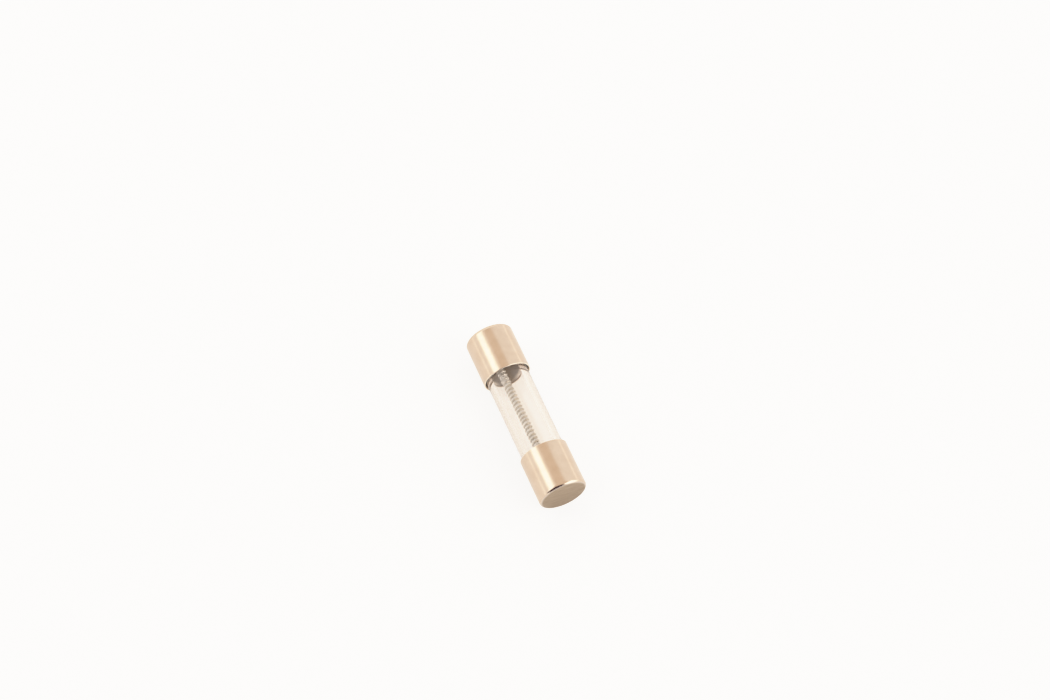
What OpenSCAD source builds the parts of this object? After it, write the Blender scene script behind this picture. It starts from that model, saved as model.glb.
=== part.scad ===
// Miniature glass cartridge fuse, 5 x 20 mm, time-lag type with a spirally wound element.
//
// The tube lies along X with the middle of the fuse at the origin. The front end cap is the
// one at +X and the rear end cap the one at -X. All sizes are in millimetres, angles in degrees.

/* [Overall] */
// Length over both end caps
fuse_length = 20; // [19.5:0.1:20.5]

/* [End caps] */
// Outside diameter of an end cap
cap_diameter = 5.2; // [5.1:0.05:5.3]
// Length of an end cap, from its mouth to its end face
cap_length = 5.24; // [4.6:0.02:5.8]
// Sheet thickness of the cap's wall
cap_wall = 0.2; // [0.14:0.01:0.22]
// Sheet thickness of the cap's end
cap_end_thickness = 0.25; // [0.2:0.01:0.3]
// Outside radius between the cap's wall and its end face
cap_edge_radius = 0.4; // [0.3:0.01:0.45]
// Radius of the corner at the bottom of the cap
cap_corner_radius = 0.12; // [0.05:0.01:0.15]

/* [Glass tube] */
// Outside diameter of the glass tube
tube_diameter = 4.6; // [4.5:0.02:4.64]
// Wall thickness of the glass tube
tube_wall = 0.7; // [0.5:0.05:0.9]
// Gap between each end of the tube and the bottom of its cap
tube_end_gap = 0.3; // [0.2:0.05:0.5]

/* [Element] */
// Diameter of the wire wound round the core
wire_diameter = 0.2; // [0.16:0.01:0.22]
// Outside diameter of the winding
winding_diameter = 0.94; // [0.9:0.01:1]
// Distance from one turn to the next
winding_pitch = 0.44; // [0.4:0.01:0.5]
// Number of turns
winding_turns = 42; // [38:1:43]
// Radial gap between the fibre core and the winding round it
core_play = 0.02; // [0.02:0.01:0.05]
// How far the element lies to the -Y side of the tube's axis at its front end
element_offset_front = 0.26; // [0:0.02:0.5]
// How far the element lies to the -Y side of the tube's axis at its rear end
element_offset_rear = 0.4; // [0:0.02:0.5]

/* [Solder and cement] */
// Depth of the solder plug inside the glass tube
solder_plug_depth = 1.3; // [0.9:0.05:2]
// Height of the plug's dome above its edge at the glass
solder_dome_height = 0.4; // [0.2:0.05:0.7]
// Play between the element and the hole that it fills in the solder
solder_play = 0.02; // [0.01:0.005:0.05]
// Distance from the cap's mouth to the cement that holds the tube
cement_recess = 0.15; // [0.1:0.05:1]

/* [Hidden] */

$fn = 96;

// Sides of the wire's section, and sections in one turn of the winding
wire_sides = 8;
sections_per_turn = 12;

// A cut goes this far past the faces that it passes through
cut_margin = 1;

half_length = fuse_length / 2;
cap_radius = cap_diameter / 2;
cap_bore_radius = cap_radius - cap_wall;
cap_mouth_x = half_length - cap_length;
cap_bottom_x = half_length - cap_end_thickness;

tube_radius = tube_diameter / 2;
tube_bore_radius = tube_radius - tube_wall;
tube_end_x = cap_bottom_x - tube_end_gap;

cement_start_x = cap_mouth_x + cement_recess;

plug_edge_x = tube_end_x - solder_plug_depth;
dome_radius = (pow(tube_bore_radius, 2) + pow(solder_dome_height, 2)) / (2 * solder_dome_height);
dome_top_x = plug_edge_x - solder_dome_height;

wire_radius = wire_diameter / 2;
winding_radius = winding_diameter / 2;
helix_radius = winding_radius - wire_radius;
core_radius = winding_radius - wire_diameter - core_play;
winding_length = winding_turns * winding_pitch;
element_length = winding_length + wire_diameter;
// A left-handed winding turns backwards as it advances
turn_angle = -360 / sections_per_turn;
section_count = winding_turns * sections_per_turn;
lead_angle = atan(winding_pitch / (2 * PI * helix_radius));

// The element runs straight from its rear end to its front end, slightly off the tube's axis
element_middle_y = -(element_offset_front + element_offset_rear) / 2;
element_yaw = atan((element_offset_rear - element_offset_front) / element_length);

// ---------- Helpers ----------

// Turns an outline, drawn with its radius across and its place along the fuse upwards, about X
module turned_about_x() {
    rotate([0, 90, 0])
        rotate_extrude()
            children();
}

// A rectangle from the axis to radius, between two places along the fuse, with a round far corner
module rounded_band(radius, from_x, to_x, corner) {
    translate([0, from_x])
        square([radius, to_x - from_x - corner]);
    translate([0, from_x])
        square([radius - corner, to_x - from_x]);
    translate([radius - corner, to_x - corner])
        circle(r = corner);
}

// Puts children drawn along Z about the origin on the line of the element
module on_element_line() {
    translate([0, element_middle_y, 0])
        rotate([0, 0, element_yaw])
            rotate([0, 90, 0])
                children();
}

// ---------- Shapes for the front end ----------

module cap_shape() {
    turned_about_x()
        difference() {
            intersection() {
                rounded_band(cap_radius, cap_mouth_x, half_length, cap_edge_radius);
                translate([0, cap_mouth_x])
                    square([cap_radius, cap_length]);
            }
            intersection() {
                rounded_band(cap_bore_radius, cap_mouth_x - cut_margin, cap_bottom_x, cap_corner_radius);
                translate([0, cap_mouth_x - cut_margin])
                    square([cap_bore_radius, cap_length + cut_margin]);
            }
        }
}

module cement_shape() {
    turned_about_x()
        translate([tube_radius, cement_start_x])
            square([cap_bore_radius - tube_radius, tube_end_x - cement_start_x]);
}

// The solder fills the bottom of the cap and stands in the end of the tube with a domed face
module solder_outline() {
    intersection() {
        rounded_band(cap_bore_radius, tube_end_x, cap_bottom_x, cap_corner_radius);
        translate([0, tube_end_x])
            square([cap_bore_radius, tube_end_gap]);
    }
    translate([0, plug_edge_x])
        square([tube_bore_radius, solder_plug_depth]);
    intersection() {
        translate([0, dome_top_x + dome_radius])
            circle(r = dome_radius);
        translate([0, dome_top_x])
            square([tube_bore_radius, solder_dome_height]);
    }
}

// ---------- Glass tube ----------

module glass_tube() {
    color([0.93, 0.91, 0.87, 0.35])
        turned_about_x()
            translate([tube_bore_radius, -tube_end_x])
                square([tube_wall, 2 * tube_end_x]);
}

// ---------- End caps ----------

module end_cap_front() {
    color([0.86, 0.78, 0.70])
        cap_shape();
}

module end_cap_rear() {
    color([0.86, 0.78, 0.70])
        mirror([1, 0, 0])
            cap_shape();
}

// ---------- Cement between tube and cap ----------

module cement_ring_front() {
    color([0.74, 0.71, 0.66])
        cement_shape();
}

module cement_ring_rear() {
    color([0.74, 0.71, 0.66])
        mirror([1, 0, 0])
            cement_shape();
}

// ---------- Solder joints ----------

module element_hole() {
    on_element_line()
        cylinder(r = winding_radius + solder_play, h = element_length + 2 * solder_play, center = true);
}

module solder_joint_front() {
    color([0.66, 0.66, 0.67])
        difference() {
            turned_about_x()
                solder_outline();
            element_hole();
        }
}

module solder_joint_rear() {
    color([0.66, 0.66, 0.67])
        difference() {
            mirror([1, 0, 0])
                turned_about_x()
                    solder_outline();
            element_hole();
        }
}

// ---------- Element ----------

module element_core() {
    color([0.95, 0.94, 0.91])
        on_element_line()
            cylinder(r = core_radius, h = element_length, center = true);
}

// One section of the wire: a circle square to the wire, in the directions away from the
// winding's axis and along it
function wire_section(index) =
    let (
        angle = index * turn_angle,
        outward = [cos(angle), sin(angle), 0],
        along_wire = [sin(angle) * cos(lead_angle), -cos(angle) * cos(lead_angle), sin(lead_angle)],
        sideways = cross(along_wire, outward),
        height = (index / section_count - 0.5) * winding_length,
        middle = helix_radius * outward + [0, 0, height]
    )
    [
        for (side = [0 : wire_sides - 1])
            let (around = 360 * side / wire_sides)
            middle + wire_radius * (cos(around) * outward + sin(around) * sideways)
    ];

function wire_points() = [
    for (index = [0 : section_count])
        each wire_section(index)
];

// The two triangles between one side of a section and the same side of the next section
function wire_wall() = [
    for (index = [0 : section_count - 1], side = [0 : wire_sides - 1])
        let (
            next_side = (side + 1) % wire_sides,
            a = index * wire_sides + side,
            b = index * wire_sides + next_side,
            c = a + wire_sides,
            d = b + wire_sides
        )
        each [[a, d, b], [a, c, d]]
];

function wire_ends() = [
    [for (side = [0 : wire_sides - 1]) side],
    [for (side = [wire_sides - 1 : -1 : 0]) section_count * wire_sides + side]
];

module element_wire() {
    color([0.55, 0.52, 0.48])
        on_element_line()
            polyhedron(points = wire_points(), faces = concat(wire_wall(), wire_ends()));
}

glass_tube();
end_cap_front();
end_cap_rear();
cement_ring_front();
cement_ring_rear();
solder_joint_front();
solder_joint_rear();
element_core();
element_wire();
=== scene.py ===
import math
import random

import bpy
import numpy as np
from mathutils import Matrix, Vector


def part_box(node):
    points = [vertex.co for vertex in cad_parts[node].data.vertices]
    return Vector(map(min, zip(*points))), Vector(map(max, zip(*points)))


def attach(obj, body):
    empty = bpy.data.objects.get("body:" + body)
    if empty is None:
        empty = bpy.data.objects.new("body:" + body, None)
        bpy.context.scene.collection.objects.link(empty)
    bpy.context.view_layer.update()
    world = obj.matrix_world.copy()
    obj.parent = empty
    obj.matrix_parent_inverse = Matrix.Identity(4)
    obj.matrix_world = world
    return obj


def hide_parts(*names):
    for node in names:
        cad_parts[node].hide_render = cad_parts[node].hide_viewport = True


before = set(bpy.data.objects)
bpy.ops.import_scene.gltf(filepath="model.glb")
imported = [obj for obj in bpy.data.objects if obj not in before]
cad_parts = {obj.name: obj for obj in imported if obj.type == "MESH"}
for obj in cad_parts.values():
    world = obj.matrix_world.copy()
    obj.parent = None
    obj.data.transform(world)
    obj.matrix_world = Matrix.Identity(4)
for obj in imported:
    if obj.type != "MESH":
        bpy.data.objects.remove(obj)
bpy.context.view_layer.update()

# A miniature glass cartridge fuse, 5 x 20 mm. The fuse lies along X with its middle at the
# origin. Its front end cap, at +X, is the one nearer the camera.

MM = 0.001
BODY = "root"

# ---------------------------------------------------------------- sizes, from the frame

_, TUBE_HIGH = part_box("glass_tube")
CAP_LOW, CAP_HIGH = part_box("end_cap_front")
CEMENT_LOW, CEMENT_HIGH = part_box("cement_ring_front")
SOLDER_LOW, SOLDER_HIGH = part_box("solder_joint_front")
_, WIRE_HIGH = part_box("element_wire")
_, CORE_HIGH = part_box("element_core")

HALF_LENGTH = CAP_HIGH.x
CAP_RADIUS = CAP_HIGH.y
CAP_MOUTH_X = CAP_LOW.x
CAP_BORE_RADIUS = CEMENT_HIGH.y
CAP_BOTTOM_X = SOLDER_HIGH.x
TUBE_RADIUS = TUBE_HIGH.y
TUBE_END_X = TUBE_HIGH.x
CEMENT_START_X = CEMENT_LOW.x
SOLDER_TOP_X = SOLDER_LOW.x
WINDING_RADIUS = WIRE_HIGH.z
CORE_RADIUS = CORE_HIGH.z

# These are the driving sizes of the CAD model that no box gives
TUBE_WALL = 0.7 * MM
CAP_EDGE_RADIUS = 0.4 * MM
CAP_CORNER_RADIUS = 0.12 * MM
SOLDER_DOME_HEIGHT = 0.4 * MM
WIRE_RADIUS = 0.1 * MM
WINDING_PITCH = 0.44 * MM
WINDING_TURNS = 42
ELEMENT_OFFSET_FRONT = 0.26 * MM
ELEMENT_OFFSET_REAR = 0.40 * MM

TUBE_BORE_RADIUS = TUBE_RADIUS - TUBE_WALL
# The rear joint's solder has crept along the element as far as this
SOLDER_CREEP_X = -4.1 * MM
# The slight bevel that the drawing tool leaves inside the cap's mouth
CAP_CHAMFER = 0.08 * MM
# The radius of the cap's cut edge, and that of the tube's fire-cut ends
CAP_LIP = 0.03 * MM
TUBE_EDGE = 0.12 * MM
# Depth of the worn marks in the cap's wall, and half of a stroke's width
MARK_DEPTH = 0.014 * MM
MARK_HALF_WIDTH = 0.09 * MM
FLOOR_Z = -CAP_RADIUS
FLOOR_HALF_SIDE = 6.0
FLOOR_GLOW = 0.85

# ---------------------------------------------------------------- camera

CAMERA_AZIMUTH = math.radians(-23.14)
CAMERA_ELEVATION = math.radians(62.27)
CAMERA_DISTANCE = 227.5 * MM
SENSOR_WIDTH = 36.0
FOCAL_SHARE = 2.0876
# Where the middle of the fuse lies in the picture, from its middle, as shares of its width
FUSE_RIGHT = 0.00035
FUSE_DOWN = 0.0617


def make_camera():
    """The camera stands at the near end, high up, and looks down at the fuse with a long lens."""
    data = bpy.data.cameras.new("camera")
    camera = bpy.data.objects.new("camera", data)
    bpy.context.scene.collection.objects.link(camera)
    data.sensor_width = SENSOR_WIDTH
    data.lens = FOCAL_SHARE * SENSOR_WIDTH
    data.clip_start = 0.01
    data.clip_end = 20.0
    level = math.cos(CAMERA_ELEVATION)
    back = Vector((level * math.cos(CAMERA_AZIMUTH), level * math.sin(CAMERA_AZIMUTH),
                   math.sin(CAMERA_ELEVATION)))
    right = Vector((0, 0, 1)).cross(back).normalized()
    up = back.cross(right)
    aim = -right * (FUSE_RIGHT / FOCAL_SHARE) + up * (FUSE_DOWN / FOCAL_SHARE)
    camera.location = (back + aim) * CAMERA_DISTANCE
    camera.rotation_mode = "QUATERNION"
    camera.rotation_quaternion = Matrix((right, up, back)).transposed().to_quaternion()
    bpy.context.scene.camera = camera


# ---------------------------------------------------------------- mesh helpers


def new_object(name, points, faces, material, smooth=True):
    """A mesh object in the row frame."""
    mesh = bpy.data.meshes.new(name)
    mesh.from_pydata([tuple(p) for p in points], [], faces)
    mesh.update()
    if smooth:
        mesh.shade_smooth()
    mesh.materials.append(material)
    thing = bpy.data.objects.new(name, mesh)
    bpy.context.scene.collection.objects.link(thing)
    return thing


def add_piece(name, node_name, points, faces, material):
    """A piece on the body, with the name given and the CAD node that it stands for, which it hides.
    """
    thing = new_object(name, points, faces, material)
    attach(thing, BODY)
    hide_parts(node_name)


def arc(centre, radius, start, end, count):
    """Points (x, r) on an arc in the half plane through the axis. Angles are in degrees from +X
    towards larger radii."""
    angles = np.radians(np.linspace(start, end, count))
    return [(centre[0] + radius * math.cos(a), centre[1] + radius * math.sin(a)) for a in angles]


def line(start, end, count):
    """Points from start to end, without the last one."""
    (x, r), (end_x, end_r) = start, end
    shares = np.linspace(0, 1, count, endpoint=False)
    return [(x + (end_x - x) * share, r + (end_r - r) * share) for share in shares]


# A radius below this, in metres, counts as being on the axis
ON_AXIS = 1e-9


def revolve(outline, segments, closed, displace=None):
    """Turns an outline of (x, r) points about X. closed joins its last point to its first; an
    open one starts and ends on the axis. displace(x, r, angle) gives a shift of each point along
    the radius and along X."""
    angles = np.linspace(0, 2 * math.pi, segments, endpoint=False)
    points, rows = [], []
    for x, r in outline:
        if r < ON_AXIS:
            rows.append([len(points)])
            points.append((x, 0.0, 0.0))
            continue
        row = []
        for angle in angles:
            dr, dx = displace(x, r, angle) if displace else (0.0, 0.0)
            row.append(len(points))
            points.append((x + dx, (r + dr) * math.cos(angle), (r + dr) * math.sin(angle)))
        rows.append(row)
    faces = []
    pairs = list(zip(rows, rows[1:])) + ([(rows[-1], rows[0])] if closed else [])
    for low, high in pairs:
        for i in range(segments):
            j = (i + 1) % segments
            if len(low) == 1:
                faces.append((low[0], high[i], high[j]))
            elif len(high) == 1:
                faces.append((low[i], high[0], low[j]))
            else:
                faces.append((low[i], high[i], high[j], low[j]))
    return points, faces


# ---------------------------------------------------------------- material helpers


def new_material(name):
    """A material with a Principled shader on its surface."""
    material = bpy.data.materials.new(name)
    material.use_nodes = True
    tree = material.node_tree
    tree.nodes.clear()
    output = tree.nodes.new("ShaderNodeOutputMaterial")
    shader = tree.nodes.new("ShaderNodeBsdfPrincipled")
    tree.links.new(shader.outputs["BSDF"], output.inputs["Surface"])
    return material, tree, shader, output


def node(tree, kind, settings=None, **inputs):
    """A node with its settings, and its input sockets set or linked by name, or by number where
    the key is i0, i1 and so on."""
    made = tree.nodes.new(kind)
    for key, value in (settings or {}).items():
        setattr(made, key, value)
    for key, value in inputs.items():
        by_index = key[0] == "i" and key[1:].isdigit()
        socket = made.inputs[int(key[1:]) if by_index else key]
        if isinstance(value, bpy.types.NodeSocket):
            tree.links.new(value, socket)
        else:
            socket.default_value = value
    return made


def place(tree):
    """The place on the object, in metres, in the row frame."""
    return node(tree, "ShaderNodeTexCoord").outputs["Object"]


def parts_of(tree, at):
    """The sockets for the x, y and z of a place."""
    return node(tree, "ShaderNodeSeparateXYZ", i0=at).outputs


def radius_of(tree, at):
    """How far a place is from the fuse's axis."""
    across = node(tree, "ShaderNodeVectorMath", {"operation": "MULTIPLY"}, i0=at, i1=(0, 1, 1))
    length = node(tree, "ShaderNodeVectorMath", {"operation": "LENGTH"}, i0=across.outputs[0])
    return length.outputs["Value"]


def scaled(tree, vector, x, y, z):
    return node(tree, "ShaderNodeMapping", i0=vector, i3=(x, y, z)).outputs[0]


def noise(tree, vector, scale, detail, roughness):
    return node(tree, "ShaderNodeTexNoise", Vector=vector, Scale=scale, Detail=detail,
                Roughness=roughness).outputs["Fac"]


def ranged(tree, value, low, high, to_low, to_high, smooth=False):
    """A value brought from the range low to high into the range to_low to to_high."""
    settings = {"interpolation_type": "SMOOTHSTEP"} if smooth else {}
    made = node(tree, "ShaderNodeMapRange", settings, Value=value)
    made.inputs["From Min"].default_value = low
    made.inputs["From Max"].default_value = high
    made.inputs["To Min"].default_value = to_low
    made.inputs["To Max"].default_value = to_high
    return made.outputs[0]


def math_node(tree, operation, a, b=0.0):
    return node(tree, "ShaderNodeMath", {"operation": operation}, i0=a, i1=b).outputs[0]


def blend_value(tree, share, a, b):
    return node(tree, "ShaderNodeMix", {"data_type": "FLOAT"}, i0=share, i2=a, i3=b).outputs[0]


def blend_colour(tree, share, a, b, mode="MIX"):
    settings = {"data_type": "RGBA", "blend_type": mode}
    return node(tree, "ShaderNodeMix", settings, i0=share, i6=a, i7=b).outputs[2]


def bump(tree, height, distance, normal=None):
    """A bump of this height in metres, on top of another normal where one is given."""
    made = node(tree, "ShaderNodeBump", Height=height, Distance=distance, Strength=1.0)
    if normal is not None:
        tree.links.new(normal, made.inputs["Normal"])
    return made.outputs[0]


def rgb(r, g, b):
    return (r, g, b, 1.0)


# ---------------------------------------------------------------- materials


def cap_material():
    """Drawn brass with a thin warm nickel plating. The wall is semi-bright, with fine lines along
    the draw; the end faces are duller and browner, with faint cross strokes, and dimmed low down as
    painted shade for the shadowed floor that they reflect; the bore is dull and grey, with a
    dimmer, browner bevel and first part at its mouth that are painted shade for the narrow gap
    there, and the cut edge is bright."""
    material, tree, shader, _ = new_material("cap_plating")
    at = place(tree)
    draw_lines = noise(tree, scaled(tree, at, 60.0, 5200.0, 5200.0), 1.0, 4.0, 0.6)
    patches = noise(tree, at, 900.0, 4.0, 0.55)
    specks = noise(tree, at, 9000.0, 2.0, 0.6)
    strokes = noise(tree, scaled(tree, at, 900.0, 700.0, 5200.0), 1.0, 4.0, 0.6)
    wall = blend_colour(tree, ranged(tree, patches, 0.35, 0.65, 0.0, 1.0),
                        rgb(0.65, 0.523, 0.408), rgb(0.62, 0.49, 0.375))
    end = blend_colour(tree, ranged(tree, strokes, 0.3, 0.7, 0.0, 1.0),
                       rgb(0.435, 0.33, 0.232), rgb(0.345, 0.255, 0.172))
    x, _, z = parts_of(tree, at)
    along = math_node(tree, "ABSOLUTE", x)
    at_end = ranged(tree, along, HALF_LENGTH - 0.12 * MM, HALF_LENGTH - 0.01 * MM, 0.0, 1.0, True)
    # Painted shade: the end face is dimmed towards the bottom, in place of the shadowed floor that
    # it reflects there.
    low_down_shade = ranged(tree, z, -CAP_RADIUS, CAP_RADIUS, 1.0, 0.0)
    shaded_end = blend_colour(tree, 1.0, end, rgb(0.82, 0.80, 0.78), "MULTIPLY")
    end = blend_colour(tree, low_down_shade, end, shaded_end)
    shader.inputs["Metallic"].default_value = 1.0
    bevel = CAP_BORE_RADIUS + CAP_CHAMFER
    inside = ranged(tree, radius_of(tree, at), bevel, bevel + 0.02 * MM, 1.0, 0.0)
    inside = math_node(tree, "MULTIPLY", inside,
                       ranged(tree, along, CAP_BOTTOM_X, HALF_LENGTH, 1.0, 0.0))
    cut = ranged(tree, along, CAP_MOUTH_X + 0.01 * MM, CAP_MOUTH_X + 0.04 * MM, 1.0, 0.0)
    colour = blend_colour(tree, at_end, wall, end)
    colour = blend_colour(tree, cut, colour, rgb(0.93, 0.84, 0.70))
    # Painted shade: the bevel and the first part of the bore are dimmer and browner, standing in
    # for the shade in the narrow gap at the mouth; further in, the bore is dull grey.
    past_gap_shade = ranged(tree, along, CAP_MOUTH_X + 0.1 * MM, CAP_MOUTH_X + 0.3 * MM, 0.0, 1.0)
    bore = blend_colour(tree, past_gap_shade, rgb(0.56, 0.43, 0.32), rgb(0.62, 0.60, 0.565))
    colour = blend_colour(tree, inside, colour, bore)
    tree.links.new(colour, shader.inputs["Base Color"])
    wall_rough = math_node(tree, "ADD", ranged(tree, draw_lines, 0.3, 0.7, 0.15, 0.21),
                           ranged(tree, specks, 0.55, 0.75, 0.0, 0.05))
    end_rough = ranged(tree, strokes, 0.3, 0.7, 0.38, 0.5)
    rough = blend_value(tree, inside, blend_value(tree, at_end, wall_rough, end_rough), 0.6)
    tree.links.new(rough, shader.inputs["Roughness"])
    fine = bump(tree, blend_value(tree, at_end, draw_lines, strokes), 0.002 * MM)
    dimples = noise(tree, at, 3600.0, 2.0, 0.5)
    tree.links.new(bump(tree, dimples, 0.005 * MM, fine), shader.inputs["Normal"])
    return material


def glass_material():
    """Clear drawn glass. Shadow rays go straight through it, so that what is inside is lit."""
    material, tree, shader, output = new_material("tube_glass")
    at = place(tree)
    haze = noise(tree, scaled(tree, at, 200.0, 900.0, 900.0), 1.0, 2.0, 0.5)
    tint = blend_colour(tree, ranged(tree, haze, 0.35, 0.65, 0.0, 1.0),
                        rgb(1.0, 0.995, 0.99), rgb(0.99, 0.985, 0.975))
    tree.links.new(tint, shader.inputs["Base Color"])
    shader.inputs["Roughness"].default_value = 0.0
    shader.inputs["IOR"].default_value = 1.5
    shader.inputs["Transmission Weight"].default_value = 1.0
    clear = node(tree, "ShaderNodeBsdfTransparent", Color=rgb(0.96, 0.96, 0.96))
    path = node(tree, "ShaderNodeLightPath")
    mixed = node(tree, "ShaderNodeMixShader", i0=path.outputs["Is Shadow Ray"],
                 i1=shader.outputs[0], i2=clear.outputs[0])
    tree.links.new(mixed.outputs[0], output.inputs["Surface"])
    # The glass itself is slightly amber: its colour deepens with the way through it, in metres
    body = node(tree, "ShaderNodeVolumeAbsorption", Color=rgb(0.57, 0.30, 0.065), Density=200.0)
    tree.links.new(body.outputs[0], output.inputs["Volume"])
    return material


def wire_material():
    """Resistance wire, slightly dulled by heat, and tinned where the rear joint's solder has
    reached it."""
    material, tree, shader, _ = new_material("element_metal")
    at = place(tree)
    patches = noise(tree, at, 6000.0, 3.0, 0.6)
    colour = blend_colour(tree, ranged(tree, patches, 0.35, 0.7, 0.0, 1.0),
                          rgb(0.68, 0.63, 0.54), rgb(0.52, 0.48, 0.40))
    tinned = ranged(tree, parts_of(tree, at)[0], SOLDER_CREEP_X - 0.4 * MM,
                    SOLDER_CREEP_X + 0.5 * MM, 1.0, 0.0)
    colour = blend_colour(tree, tinned, colour, rgb(0.78, 0.76, 0.71))
    shader.inputs["Metallic"].default_value = 1.0
    tree.links.new(colour, shader.inputs["Base Color"])
    tree.links.new(ranged(tree, patches, 0.3, 0.7, 0.26, 0.4), shader.inputs["Roughness"])
    return material


def core_material():
    """White glass-fibre yarn."""
    material, tree, shader, _ = new_material("core_fibre")
    at = place(tree)
    fibres = noise(tree, scaled(tree, at, 1500.0, 16000.0, 16000.0), 1.0, 3.0, 0.6)
    colour = blend_colour(tree, fibres, rgb(0.97, 0.96, 0.93), rgb(0.90, 0.89, 0.86))
    tree.links.new(colour, shader.inputs["Base Color"])
    shader.inputs["Roughness"].default_value = 0.6
    tree.links.new(bump(tree, fibres, 0.01 * MM), shader.inputs["Normal"])
    return material


def solder_material():
    """Tin solder that has flowed and set: bright grey with a faintly frosted, grainy skin."""
    material, tree, shader, _ = new_material("solder")
    at = place(tree)
    grains = node(tree, "ShaderNodeTexVoronoi", Vector=at, Scale=4500.0).outputs["Distance"]
    flow = noise(tree, at, 1400.0, 3.0, 0.5)
    colour = blend_colour(tree, flow, rgb(0.56, 0.56, 0.57), rgb(0.68, 0.68, 0.68))
    shader.inputs["Metallic"].default_value = 1.0
    tree.links.new(colour, shader.inputs["Base Color"])
    tree.links.new(ranged(tree, flow, 0.3, 0.7, 0.2, 0.42), shader.inputs["Roughness"])
    tree.links.new(bump(tree, grains, 0.004 * MM), shader.inputs["Normal"])
    return material


def cement_material():
    """Off-white cement, matte and gritty. Where it faces the gap it is painted near black, as
    painted shade for that deep narrow gap.
    """
    material, tree, shader, _ = new_material("cement")
    at = place(tree)
    grit = noise(tree, at, 7000.0, 4.0, 0.65)
    colour = blend_colour(tree, grit, rgb(0.78, 0.75, 0.70), rgb(0.90, 0.88, 0.84))
    # Painted shade: the face towards the gap between tube and cap is near black, standing in for
    # the shade in that narrow gap.
    gap_face_shade = ranged(tree, radius_of(tree, at), TUBE_RADIUS, TUBE_RADIUS + 0.02 * MM, 0.0, 1.0)
    colour = blend_colour(tree, gap_face_shade, colour, rgb(0.05, 0.04, 0.035))
    tree.links.new(colour, shader.inputs["Base Color"])
    # Its first part is slightly self-lit, in place of daylight that comes down the glass. Little
    # of that light reaches the underside.
    x, _, z = parts_of(tree, at)
    along = math_node(tree, "ABSOLUTE", x)
    reached = ranged(tree, along, CEMENT_START_X, CEMENT_START_X + 0.45 * MM, 0.55, 0.0, True)
    from_above = ranged(tree, z, -2.1 * MM, -1.3 * MM, 0.0, 1.0, True)
    reached = math_node(tree, "MULTIPLY", reached, from_above)
    # Here clean means away from the gap face, whose black is painted shade; the self-lighting goes
    # only there.
    clean = ranged(tree, gap_face_shade, 0.0, 0.5, 1.0, 0.0)
    shader.inputs["Emission Color"].default_value = rgb(1.0, 0.87, 0.74)
    tree.links.new(math_node(tree, "MULTIPLY", reached, clean), shader.inputs["Emission Strength"])
    shader.inputs["Roughness"].default_value = 0.85
    tree.links.new(bump(tree, grit, 0.02 * MM), shader.inputs["Normal"])
    return material


def floor_material():
    """Pale matte studio paper."""
    material, tree, shader, _ = new_material("floor_paper")
    at = place(tree)
    grain = noise(tree, at, 700.0, 3.0, 0.5)
    colour = blend_colour(tree, grain, rgb(0.312, 0.316, 0.316), rgb(0.328, 0.332, 0.332))
    tree.links.new(colour, shader.inputs["Base Color"])
    shader.inputs["Roughness"].default_value = 0.9
    shader.inputs["Specular IOR Level"].default_value = 0.1
    shader.inputs["Emission Color"].default_value = rgb(1.0, 0.975, 0.94)
    shader.inputs["Emission Strength"].default_value = FLOOR_GLOW
    return material


# ---------------------------------------------------------------- pieces


def cap_outline():
    """The front cap's section in two parts: from inside its mouth round the outside to the axis,
    and from the axis back along the bore."""
    lip, corner, mouth = CAP_LIP, CAP_CORNER_RADIUS, CAP_MOUTH_X
    bevel_start = (mouth + CAP_CHAMFER * 1.5, CAP_BORE_RADIUS)
    outline = line(bevel_start, (mouth + lip / 2, CAP_BORE_RADIUS + CAP_CHAMFER), 4)
    outline += arc((mouth + lip, CAP_BORE_RADIUS + CAP_CHAMFER + lip), lip, 225, 180, 4)
    outline += arc((mouth + lip, CAP_RADIUS - lip), lip, 180, 90, 6)
    straight_start = (mouth + lip * 1.6, CAP_RADIUS)
    straight_end = (HALF_LENGTH - CAP_EDGE_RADIUS, CAP_RADIUS)
    outline += line(straight_start, straight_end, 110)
    outline += arc((HALF_LENGTH - CAP_EDGE_RADIUS, CAP_RADIUS - CAP_EDGE_RADIUS),
                   CAP_EDGE_RADIUS, 90, 0, 16)
    face_edge = CAP_RADIUS - CAP_EDGE_RADIUS
    outline += line((HALF_LENGTH, face_edge * 0.985), (HALF_LENGTH, 0.0), 16)
    outline += [(HALF_LENGTH, 0.0)]
    inside = [(CAP_BOTTOM_X, 0.0)]
    inside += line((CAP_BOTTOM_X, 0.3 * MM), (CAP_BOTTOM_X, CAP_BORE_RADIUS - corner), 5)
    inside += arc((CAP_BOTTOM_X - corner, CAP_BORE_RADIUS - corner), corner, 0, 90, 6)
    inside += line((CAP_BOTTOM_X - corner * 1.3, CAP_BORE_RADIUS), bevel_start, 20)
    return outline, inside


def worn_marks(strokes):
    """Shallow worn strokes pressed into the cap's wall. Each runs between two places (x, way
    round the wall from the top towards +Y), in millimetres."""
    half_width = MARK_HALF_WIDTH / MM
    low_x = min(x for stroke in strokes for x, _ in stroke) - 2 * half_width
    high_x = max(x for stroke in strokes for x, _ in stroke) + 2 * half_width

    def press(x, r, angle):
        if r < CAP_RADIUS - 0.01 * MM or not low_x < x / MM < high_x:
            return 0.0, 0.0
        way = CAP_RADIUS / MM * math.atan2(math.cos(angle), math.sin(angle))
        share = 0.0
        for (ax, aw), (bx, bw) in strokes:
            run, rise = bx - ax, bw - aw
            along = ((x / MM - ax) * run + (way - aw) * rise) / (run * run + rise * rise)
            along = min(max(along, 0.0), 1.0)
            away = math.hypot(x / MM - ax - along * run, way - aw - along * rise)
            share = max(share, math.exp(-(away / half_width) ** 2))
        return -MARK_DEPTH * share, 0.0

    return press


def ticks(places, low, high):
    """Parallel strokes at these places along the cap, from low to high round its wall."""
    return [((x, low), (x, high)) for x in places]


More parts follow.
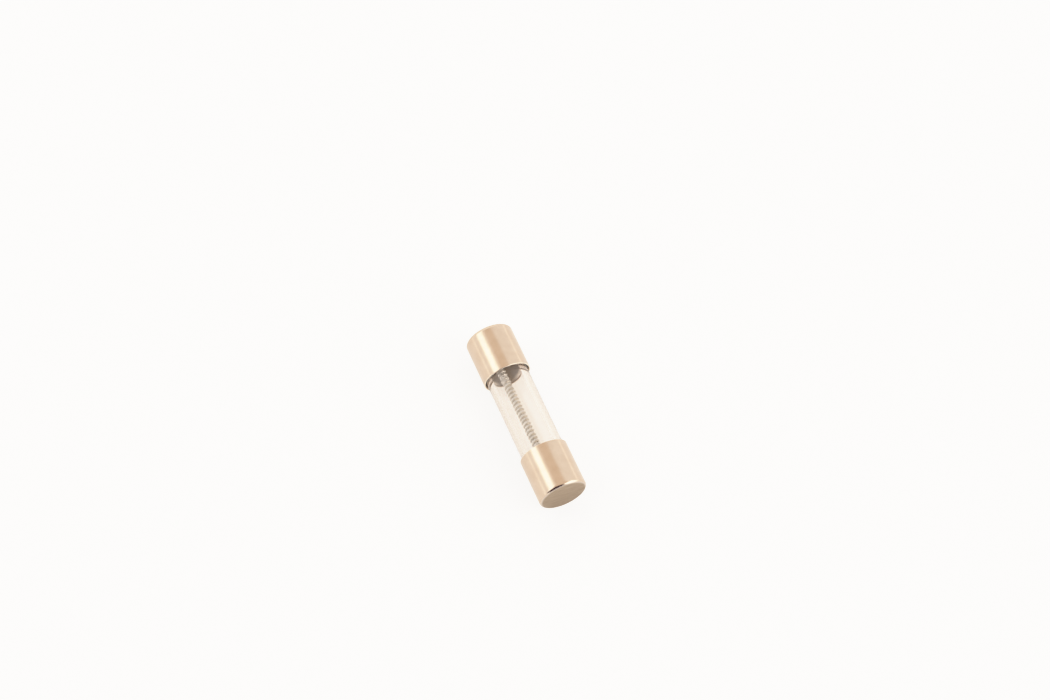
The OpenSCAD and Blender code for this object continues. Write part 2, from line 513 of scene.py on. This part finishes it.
def make_cap(name, node_name, sign, strokes, material):
    outline, inside = cap_outline()
    segments = 400
    points, faces = revolve(outline, segments, False, worn_marks(strokes))
    start = len(points)
    inner_points, inner_faces = revolve(inside, segments, closed=False)
    points += inner_points
    faces += [tuple(i + start for i in f) for f in inner_faces]
    # The last ring of the bore meets the first ring of the bevel
    last = len(points) - segments
    for i in range(segments):
        j = (i + 1) % segments
        faces.append((last + i, i, j, last + j))
    points, faces = mirrored(points, faces, sign)
    add_piece(name, node_name, points, faces, material)


def make_tube(material):
    """Fire-cut tube: both ends have slightly rounded edges."""
    edge, end = TUBE_EDGE, TUBE_END_X
    outline = line((-end + edge, TUBE_RADIUS), (end - edge, TUBE_RADIUS), 40)
    outline += arc((end - edge, TUBE_RADIUS - edge), edge, 90, 0, 6)
    outline += arc((end - edge, TUBE_BORE_RADIUS + edge), edge, 0, -90, 6)
    outline += line((end - edge * 1.5, TUBE_BORE_RADIUS), (-end + edge, TUBE_BORE_RADIUS), 40)
    outline += arc((-end + edge, TUBE_BORE_RADIUS + edge), edge, 270, 180, 6)
    outline += arc((-end + edge, TUBE_RADIUS - edge), edge, 180, 91, 6)
    points, faces = revolve(outline, 256, closed=True)
    faces = [tuple(reversed(f)) for f in faces]
    add_piece("glass_tube_piece", "glass_tube", points, faces, material)


def element_frame():
    """The line of the element: its middle, its own three axes with the first along it, and its
    length."""
    length = WINDING_TURNS * WINDING_PITCH + 2 * WIRE_RADIUS
    rise = (ELEMENT_OFFSET_REAR - ELEMENT_OFFSET_FRONT) / length
    along = Vector((1.0, rise, 0.0)).normalized()
    side = Vector((0, 0, 1)).cross(along).normalized()
    middle = Vector((0.0, -(ELEMENT_OFFSET_FRONT + ELEMENT_OFFSET_REAR) / 2, 0.0))
    return middle, along, side, along.cross(side), length


def sweep(path, radii, sides):
    """A round bar along a list of points, with a radius at each and flat ends."""
    path = [Vector(p) for p in path]
    points, faces = [], []
    normal = None
    for index, point in enumerate(path):
        ahead = path[min(index + 1, len(path) - 1)]
        behind = path[max(index - 1, 0)]
        tangent = (ahead - behind).normalized()
        if normal is None:
            normal = tangent.orthogonal().normalized()
        normal = (normal - tangent * normal.dot(tangent)).normalized()
        across = tangent.cross(normal)
        for side in range(sides):
            angle = 2 * math.pi * side / sides
            out = math.cos(angle) * normal + math.sin(angle) * across
            points.append(point + radii[index] * out)
    for ring in range(len(path) - 1):
        for side in range(sides):
            a = ring * sides + side
            b = ring * sides + (side + 1) % sides
            faces.append((a, b, b + sides, a + sides))
    faces.append(tuple(reversed(range(sides))))
    faces.append(tuple(range((len(path) - 1) * sides, len(path) * sides)))
    return points, faces


def winding_place(turns):
    """How far along the element the wire has come after so many turns. The turns are slightly
    uneven, as on a hand-fed winding."""
    uneven = 0.014 * math.sin(turns * 2.39) + 0.010 * math.sin(turns * 0.93 + 1.0)
    return (turns - WINDING_TURNS / 2) * WINDING_PITCH + uneven * MM


def creep(x):
    """1 where the rear joint's solder has crept along the element, and 0 where it is clean."""
    share = min(max((SOLDER_CREEP_X + 0.5 * MM - x) / (0.9 * MM), 0.0), 1.0)
    return share * share * (3 - 2 * share)


def make_wire(material):
    """The left-handed winding. At the rear it is thickened by solder that has crept along it."""
    middle, along, side, up, _ = element_frame()
    helix_radius = WINDING_RADIUS - WIRE_RADIUS
    steps = 32
    path, radii = [], []
    for index in range(WINDING_TURNS * steps + 1):
        turns = index / steps
        angle = -2 * math.pi * turns
        path.append(middle + along * winding_place(turns) + up * (helix_radius * math.cos(angle))
                    + side * (helix_radius * math.sin(angle)))
        lumps = 0.22 + 0.10 * math.sin(turns * 9.7) + 0.10 * math.sin(turns * 15.1 + 1.0)
        radii.append(WIRE_RADIUS * (1.0 + creep(path[-1].x) * lumps))
    points, faces = sweep(path, radii, 12)
    add_piece("element_wire_piece", "element_wire", points, faces, material)


def make_core(material):
    """Soft glass-fibre yarn. The wire sinks into it, so that it swells between the turns, and its
    strands show as shallow twisted furrows."""
    middle, along, side, up, length = element_frame()
    rings, around = 18 * WINDING_TURNS, 48
    low, high = CORE_RADIUS, WINDING_RADIUS - 0.05 * MM
    strands, twist = 9, 2 * math.pi / (2.6 * MM)
    grip = WIRE_RADIUS * 0.8
    angles = [2 * math.pi * k / around for k in range(around)]
    # The wire passes the angle k at these places along the element
    passes = [
        np.array([winding_place(turn - angle / (2 * math.pi)) for turn in range(WINDING_TURNS + 2)])
        for angle in angles
    ]
    points, faces = [], []
    for ring in range(rings + 1):
        x = (ring / rings - 0.5) * length
        for angle, places in zip(angles, passes):
            away = float(np.abs(places - x).min())
            share = min(max((away - grip) / (WINDING_PITCH / 2 - grip), 0.0), 1.0)
            swell = share ** 0.5 * (1.5 - 0.5 * share)
            furrow = 0.012 * MM * abs(math.sin((angle + twist * x) * strands / 2))
            radius = low + (high - low) * swell - furrow
            points.append(middle + along * x + up * (radius * math.cos(angle))
                          + side * (radius * math.sin(angle)))
    for ring in range(rings):
        for k in range(around):
            a = ring * around + k
            b = ring * around + (k + 1) % around
            faces.append((a, a + around, b + around, b))
    faces.append(tuple(range(around)))
    faces.append(tuple(reversed(range(rings * around, (rings + 1) * around))))
    add_piece("element_core_piece", "element_core", points, faces, material)


def element_side_shift(x):
    """How far the element's line lies from the tube's axis, along Y, at a place along the fuse."""
    middle, along, _, _, _ = element_frame()
    return middle.y + along.y / along.x * x


def mirrored(points, faces, sign):
    """The front's points, or the rear's, with the faces still outward."""
    points = [(sign * x, y, z) for x, y, z in points]
    return points, [tuple(reversed(f)) for f in faces] if sign > 0 else faces


def make_cement(name, node_name, sign, material):
    """The cement between tube and cap. It wets the glass, so its inner face lies a hair inside
    the tube's outer one. It climbs the glass nearly to the mouth, with an uneven edge, and is
    drawn back along the cap."""
    start, inner = CEMENT_START_X - 0.08 * MM, TUBE_RADIUS - 0.008 * MM
    cap_start = (start + 0.5 * MM, CAP_BORE_RADIUS)
    glass_start = (start + 0.02 * MM, inner + 0.2 * (CAP_BORE_RADIUS - inner))
    outline = line((start, inner), (TUBE_END_X, inner), 10)
    outline += line((TUBE_END_X, inner), (TUBE_END_X, CAP_BORE_RADIUS), 3)
    outline += line((TUBE_END_X, CAP_BORE_RADIUS), cap_start, 10)
    outline += line(cap_start, glass_start, 6)
    outline += [glass_start]
    draw = random.Random(name)
    waves = [
        (count, draw.uniform(0, 2 * math.pi), draw.uniform(0.01, 0.025) * MM)
        for count in (2, 3, 5, 9, 14)
    ]

    def ragged(x, r, angle):
        near_start = max(0.0, 1.0 - (x - start) / (0.8 * MM))
        wave = sum(size * math.sin(count * angle + phase) for count, phase, size in waves)
        return 0.0, near_start * wave

    points, faces = mirrored(*revolve(outline[::-1], 192, True, ragged), sign)
    add_piece(name, node_name, points, faces, material)


def make_solder(name, node_name, sign, material):
    """The solder fills the bottom of the cap and the end of the tube. Its face is domed, with
    ripples where it set, and rises in a fillet round the element."""
    dome_height, corner = SOLDER_DOME_HEIGHT, CAP_CORNER_RADIUS
    fillet_height, fillet_width, ripple_height = 0.55 * MM, 0.22 * MM, 0.012 * MM
    edge_x = SOLDER_TOP_X + dome_height
    dome_radius = (TUBE_BORE_RADIUS ** 2 + dome_height ** 2) / (2 * dome_height)
    half_angle = math.degrees(math.asin(TUBE_BORE_RADIUS / dome_radius))
    outline = arc((SOLDER_TOP_X + dome_radius, 0.0), dome_radius, 180, 180 - half_angle, 24)
    outline[0] = (SOLDER_TOP_X, 0.0)
    outline += line((edge_x + 0.05 * MM, TUBE_BORE_RADIUS), (TUBE_END_X, TUBE_BORE_RADIUS), 8)
    outline += line((TUBE_END_X, TUBE_BORE_RADIUS), (TUBE_END_X, CAP_BORE_RADIUS), 4)
    outline += line((TUBE_END_X, CAP_BORE_RADIUS), (CAP_BOTTOM_X - corner, CAP_BORE_RADIUS), 2)
    outline += arc((CAP_BOTTOM_X - corner, CAP_BORE_RADIUS - corner), corner, 90, 0, 6)
    outline += line((CAP_BOTTOM_X, CAP_BORE_RADIUS - corner * 1.3), (CAP_BOTTOM_X, 0.0), 8)
    outline += [(CAP_BOTTOM_X, 0.0)]
    shift = element_side_shift(sign * SOLDER_TOP_X)

    def set_face(x, r, angle):
        if x > edge_x:
            return 0.0, 0.0
        share = 1.0 - r / TUBE_BORE_RADIUS
        away = math.hypot(r * math.cos(angle) - shift, r * math.sin(angle)) - WINDING_RADIUS
        fillet = fillet_height * math.exp(-max(away, 0.0) / fillet_width)
        ripple = ripple_height * math.sin(r / MM * 9.0 + 2.0 * math.sin(3 * angle))
        # Both fade out at the glass
        return 0.0, -(fillet * min(1.0, 5 * share) + ripple * min(1.0, 4 * share))

    points, faces = mirrored(*revolve(outline, 128, False, set_face), sign)
    add_piece(name, node_name, points, faces, material)


def make_floor(material):
    corners = ((-1, -1), (1, -1), (1, 1), (-1, 1))
    points = [(FLOOR_HALF_SIDE * x, FLOOR_HALF_SIDE * y, FLOOR_Z) for x, y in corners]
    floor = new_object("floor", points, [(0, 1, 2, 3)], material, smooth=False)


# ---------------------------------------------------------------- studio


def toward_angles(azimuth, elevation):
    """A unit vector. Azimuth is from +X towards +Y, in degrees."""
    a, e = math.radians(azimuth), math.radians(elevation)
    return Vector((math.cos(e) * math.cos(a), math.cos(e) * math.sin(a), math.sin(e)))


def height_of(elevation):
    """The Z part of a unit vector at this elevation, in degrees."""
    return math.sin(math.radians(elevation))


def dot(tree, a, b):
    settings = {"operation": "DOT_PRODUCT"}
    return node(tree, "ShaderNodeVectorMath", settings, i0=a, i1=tuple(b)).outputs["Value"]


def panel_mask(tree, toward, azimuth, elevation, half_width, half_height, soft):
    """1 where a direction meets a flat panel that faces the fuse, and 0 round it. Angles are in
    degrees; soft is the width of the panel's faded edge."""
    centre = toward_angles(azimuth, elevation)
    side = Vector((0, 0, 1)).cross(centre).normalized()
    depth = dot(tree, toward, centre)
    shares = [ranged(tree, depth, 0.0, 0.05, 0.0, 1.0)]
    depth = math_node(tree, "MAXIMUM", depth, 0.01)
    for axis, half in ((side, half_width), (centre.cross(side), half_height)):
        offset = math_node(tree, "DIVIDE", dot(tree, toward, axis), depth)
        offset = math_node(tree, "ABSOLUTE", offset)
        inner = math.tan(math.radians(half - soft / 2))
        outer = math.tan(math.radians(half + soft / 2))
        shares.append(ranged(tree, offset, inner, outer, 1.0, 0.0, True))
    mask = math_node(tree, "MULTIPLY", shares[0], shares[1])
    return math_node(tree, "MULTIPLY", mask, shares[2])


def make_world():
    """A pale studio: light walls, brightest low down, a dimmer warm ceiling, soft panels of light
    to the left, to the right and behind, and the dark place of the photographer in front."""
    world = bpy.data.worlds.new("studio")
    bpy.context.scene.world = world
    world.use_nodes = True
    tree = world.node_tree
    tree.nodes.clear()
    output = tree.nodes.new("ShaderNodeOutputWorld")
    background = tree.nodes.new("ShaderNodeBackground")
    tree.links.new(background.outputs[0], output.inputs["Surface"])
    toward = node(tree, "ShaderNodeTexCoord").outputs["Generated"]
    height = dot(tree, toward, (0, 0, 1))
    walls = rgb(1.22, 1.20, 1.17)
    ceiling = rgb(1.02, 0.878, 0.739)
    dark = rgb(0.085, 0.05, 0.073)
    low = rgb(1.5, 1.46, 1.40)
    # Each panel's azimuth and elevation, half its width and height and its faded edge, all in
    # degrees, and its light
    panels = (
        (-114, 40, 26, 12.5, 9, rgb(2.23, 2.195, 2.145)),  # left
        (50, 29, 30, 21, 8, rgb(2.38, 2.34, 2.28)),  # right
        (180, 30, 36, 18, 8, rgb(1.4, 1.375, 1.335)),  # behind
    )
    overhead = ranged(tree, height, height_of(55), height_of(61), 0.0, 1.0, True)
    colour = blend_colour(tree, overhead, walls, ceiling)
    level = node(tree, "ShaderNodeVectorMath", {"operation": "MULTIPLY"}, i0=toward, i1=(1, 1, 0))
    level = node(tree, "ShaderNodeVectorMath", {"operation": "NORMALIZE"}, i0=level.outputs[0])
    in_front = dot(tree, level.outputs[0], toward_angles(-27, 0))
    beside = ranged(tree, in_front, math.cos(math.radians(47)), math.cos(math.radians(41)),
                    0.0, 1.0, True)
    below = ranged(tree, height, height_of(60), height_of(66), 1.0, 0.0, True)
    colour = blend_colour(tree, math_node(tree, "MULTIPLY", beside, below), colour, dark)
    horizon = ranged(tree, height, height_of(6), height_of(10), 1.0, 0.0, True)
    colour = blend_colour(tree, horizon, colour, low)
    for *panel, light in panels:
        colour = blend_colour(tree, panel_mask(tree, toward, *panel), colour, light)
    tree.links.new(colour, background.inputs["Color"])
    background.inputs["Strength"].default_value = 1.0


def set_film():
    """A plain view with a soft shoulder, so that the pale floor keeps its tone. The curve runs
    from black to a white level of twice a white surface in full light."""
    view = bpy.context.scene.view_settings
    view.view_transform = "Standard"
    view.use_curve_mapping = True
    white = 2.0
    view.curve_mapping.use_clip = False
    view.curve_mapping.white_level = (white, white, white)
    curve = view.curve_mapping.curves[3]
    shoulder = ((0.8, 0.8), (0.95, 0.9), (1.1, 0.95), (1.25, 0.982), (1.4, 0.995), (1.6, 1.0))
    curve.points[-1].location = (shoulder[-1][0] / white, shoulder[-1][1])
    for light, tone in shoulder[:-1]:
        curve.points.new(light / white, tone)
    view.curve_mapping.update()
    for point in list(curve.points)[:2]:
        point.handle_type = "VECTOR"
    view.curve_mapping.update()


# ---------------------------------------------------------------- the whole

make_camera()
set_film()

cap_metal = cap_material()
# Plain parallel ticks, which stand for the worn stamping
front_marks = ticks((6.2, 6.5, 6.8, 7.1), 0.75, 1.35) + ticks((6.3, 6.6, 6.9), -3.2, -2.8)
rear_marks = ticks((6.2, 6.5, 6.8, 7.1), 2.05, 2.45)
make_cap("front_cap", "end_cap_front", 1, front_marks, cap_metal)
make_cap("rear_cap", "end_cap_rear", -1, rear_marks, cap_metal)
make_tube(glass_material())
make_wire(wire_material())
make_core(core_material())
solder = solder_material()
make_solder("front_solder", "solder_joint_front", 1, solder)
make_solder("rear_solder", "solder_joint_rear", -1, solder)
cement = cement_material()
make_cement("front_cement", "cement_ring_front", 1, cement)
make_cement("rear_cement", "cement_ring_rear", -1, cement)
make_floor(floor_material())
make_world()
